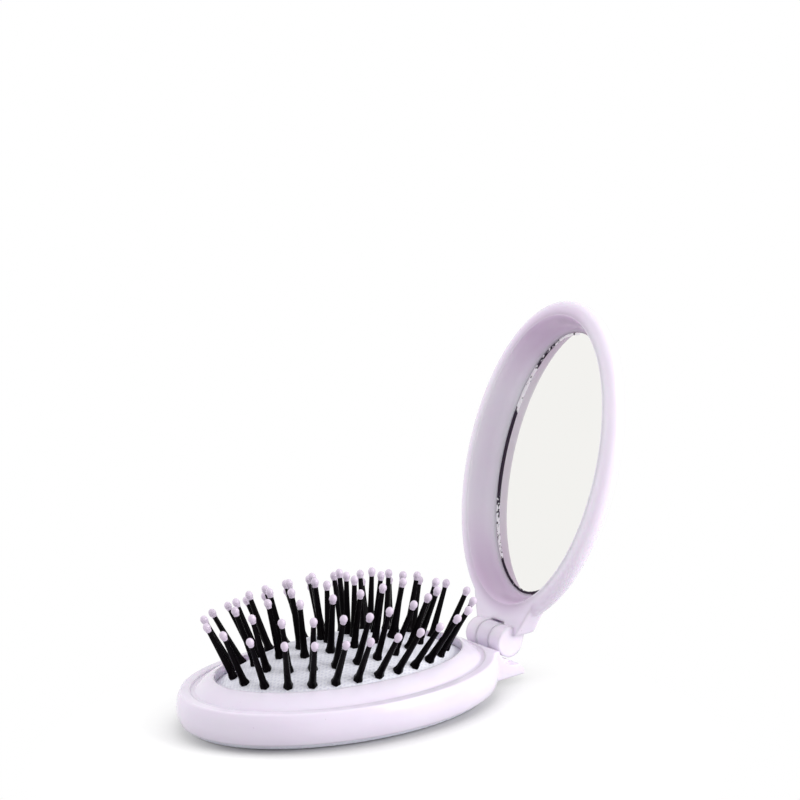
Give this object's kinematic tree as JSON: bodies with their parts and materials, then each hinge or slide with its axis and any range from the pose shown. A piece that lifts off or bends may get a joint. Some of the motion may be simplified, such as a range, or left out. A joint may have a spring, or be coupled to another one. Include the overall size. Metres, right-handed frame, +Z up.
{
  "type": "pocket mirror with comb",
  "caption": "Oval folding compact standing open: a mirror in the leaning lid, a domed pad of ball-tipped pins in the base half, and a knuckle hinge between them.",
  "frame": {"origin": "middle of the oval resting face under the base half", "axes": "+Z up from the resting face; +X along the oval towards the hinge; +Y across, away from the camera"},
  "size_m": [0.1144, 0.0568, 0.0894],
  "materials": {
    "lilac_plastic": "gloss",
    "pad_rubber": "satin, finely textured",
    "pin_nylon": "gloss",
    "tip_nylon": "gloss",
    "inner_plastic": "matte",
    "washer_plastic": "matte",
    "screw_steel": "zinc plated",
    "pivot_steel": "ground",
    "mirror_glass": "silvered",
    "tape": "matte"
  },
  "bodies": {
    "base": {"base_frame": "lilac_plastic", "bottom_cover": "lilac_plastic", "brush_pad": "pad_rubber", "push_boss": "pad_rubber", "clamp_ring": "inner_plastic", "clamp_screws": "screw_steel", "knuckle_washers": "washer_plastic", "pin_shafts_outer": "pin_nylon", "pin_shafts_second": "pin_nylon", "pin_shafts_third": "pin_nylon", "pin_shafts_inner": "pin_nylon", "pin_tips_outer": "tip_nylon", "pin_tips_second": "tip_nylon", "pin_tips_third": "tip_nylon", "pin_tips_inner": "tip_nylon"},
    "pivot": {"hinge_pivot": "pivot_steel"},
    "lid": {"lid_cover": "lilac_plastic", "lid_frame": "lilac_plastic", "mirror_glass": "mirror_glass", "mirror_tape": "tape"}
  },
  "joints": [
    {"name": "lid_close", "type": "hinge", "parent": "base", "child": "pivot", "pos_m": [0.0445, 0, 0.00875], "axis": [0, 1, 0], "range_deg": [-106, 0], "deforming": ["brush_pad", "push_boss", "pin_shafts_outer", "pin_shafts_second", "pin_shafts_third", "pin_shafts_inner", "pin_tips_outer", "pin_tips_second", "pin_tips_third", "pin_tips_inner"]},
    {"name": "lid_fold_back", "type": "hinge", "parent": "pivot", "child": "lid", "pos_m": [0.0445, 0, 0.00875], "axis": [0, 1, 0], "range_deg": [0, 74]}
  ]
}
